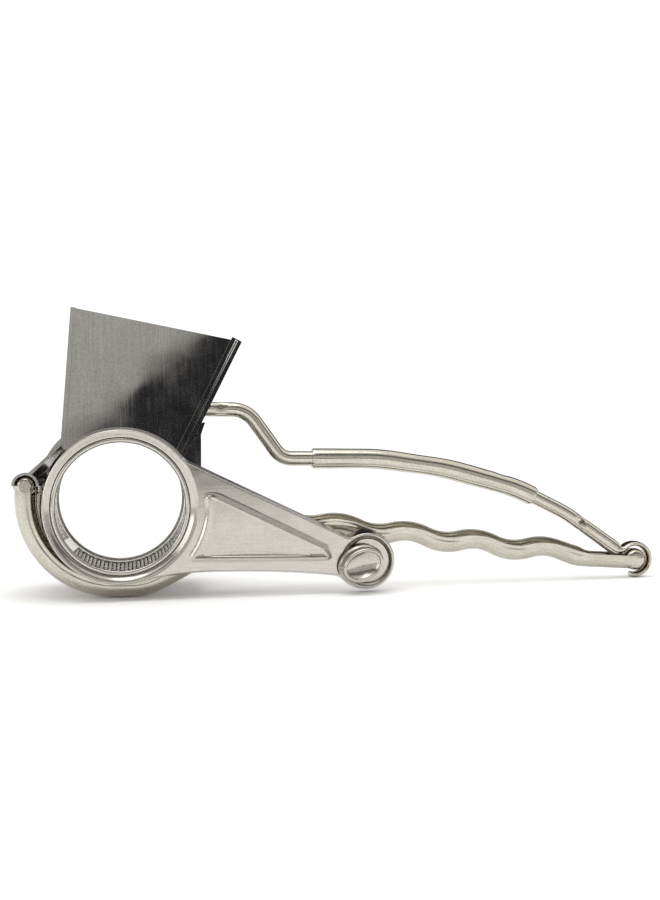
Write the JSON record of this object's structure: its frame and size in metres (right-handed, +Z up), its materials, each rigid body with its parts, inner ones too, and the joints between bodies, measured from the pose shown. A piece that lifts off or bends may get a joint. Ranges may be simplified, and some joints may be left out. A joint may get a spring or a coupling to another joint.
{
  "type": "rotary drum grater",
  "caption": "Hand-held rotary grater: open drum turned by a side crank under a flared hopper, with a hinged pressing lever over a finger-grip handle.",
  "frame": {"origin": "middle of the overall length and width, on the table that the grater stands on", "axes": "+X along the handle from the drum to the hinge, +Y along the drum's axis away from the crank, +Z up"},
  "size_m": [0.2146, 0.0654, 0.0925],
  "materials": {
    "satin_steel_tube": "satin",
    "polished_steel_sheet": "polished",
    "pressed_steel": "semi-polished",
    "grater_steel": "satin",
    "rivet_steel": "satin"
  },
  "bodies": {
    "frame": {"grip_handle": "satin_steel_tube", "near_cheek": "polished_steel_sheet", "far_cheek": "polished_steel_sheet", "left_wall": "polished_steel_sheet", "right_wall": "polished_steel_sheet", "hem_rod": "rivet_steel", "tie_rod": "rivet_steel"},
    "lever": {"lever_arm": "satin_steel_tube", "lever_sleeve": "satin_steel_tube", "pusher_plate": "pressed_steel", "pusher_bracket": "pressed_steel", "pusher_rivets": "rivet_steel"},
    "crank": {"drum_shell": "grater_steel", "drum_lip": "pressed_steel", "drum_far_rim": "pressed_steel", "crank_arm": "pressed_steel", "knob_stud": "rivet_steel", "stud_washer": "rivet_steel"},
    "knob": {"knob_cup": "pressed_steel", "knob_back": "pressed_steel"}
  },
  "joints": [
    {"name": "lever_hinge", "type": "hinge", "parent": "frame", "child": "lever", "pos_m": [0.10099, -0.01295, 0.00631], "axis": [0, 1, 0], "range_deg": [0, 30]},
    {"name": "crank_spin", "type": "hinge", "parent": "frame", "child": "crank", "pos_m": [-0.07352, 0.00435, 0.02979], "axis": [0, 1, 0], "continuous": true},
    {"name": "knob_spin", "type": "hinge", "parent": "crank", "child": "knob", "pos_m": [0.00188, -0.02965, 0.00959], "axis": [0, 1, 0], "continuous": true}
  ]
}
